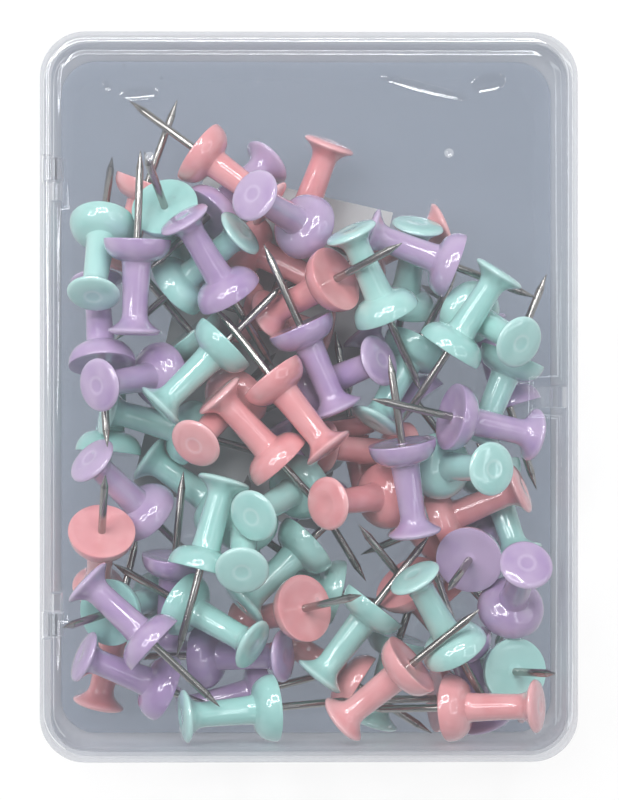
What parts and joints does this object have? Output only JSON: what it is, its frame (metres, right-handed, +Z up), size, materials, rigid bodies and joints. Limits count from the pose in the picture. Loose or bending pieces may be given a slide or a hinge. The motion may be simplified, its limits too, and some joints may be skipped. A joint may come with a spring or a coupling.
{
  "type": "box of push pins",
  "caption": "Clear hinged plastic case, lying flat, filled with loose push pins with moulded spool heads and steel needles, and a paper slip on its floor.",
  "frame": {"origin": "middle of the case's underside", "axes": "+X away from the hinge, +Y along the hinge, +Z up out of the lid"},
  "size_m": [0.07, 0.095, 0.0272],
  "materials": {
    "clear_plastic": "clear moulded polystyrene with a faint frost and fine scratches",
    "paper": "plain uncoated paper",
    "aqua_plastic": "glossy pastel moulding",
    "pink_plastic": "glossy pastel moulding",
    "lilac_plastic": "glossy pastel moulding",
    "steel": "bright drawn steel"
  },
  "bodies": {
    "case": {"case_base": "clear_plastic", "label_slip": "paper", "aqua_heads_bottom": "aqua_plastic", "aqua_heads_middle": "aqua_plastic", "aqua_heads_top": "aqua_plastic", "aqua_needles_bottom": "steel", "aqua_needles_middle": "steel", "aqua_needles_top": "steel", "lilac_heads_bottom": "lilac_plastic", "lilac_heads_middle": "lilac_plastic", "lilac_heads_top": "lilac_plastic", "lilac_needles_bottom": "steel", "lilac_needles_middle": "steel", "lilac_needles_top": "steel", "pink_heads_bottom": "pink_plastic", "pink_heads_middle": "pink_plastic", "pink_heads_top": "pink_plastic", "pink_needles_bottom": "steel", "pink_needles_middle": "steel", "pink_needles_top": "steel"},
    "lid": {"lid": "clear_plastic"}
  },
  "joints": [
    {"name": "lid_hinge", "type": "hinge", "parent": "case", "child": "lid", "pos_m": [-0.0337, 0, 0.0198], "axis": [0, -1, 0], "range_deg": [0, 105]}
  ]
}
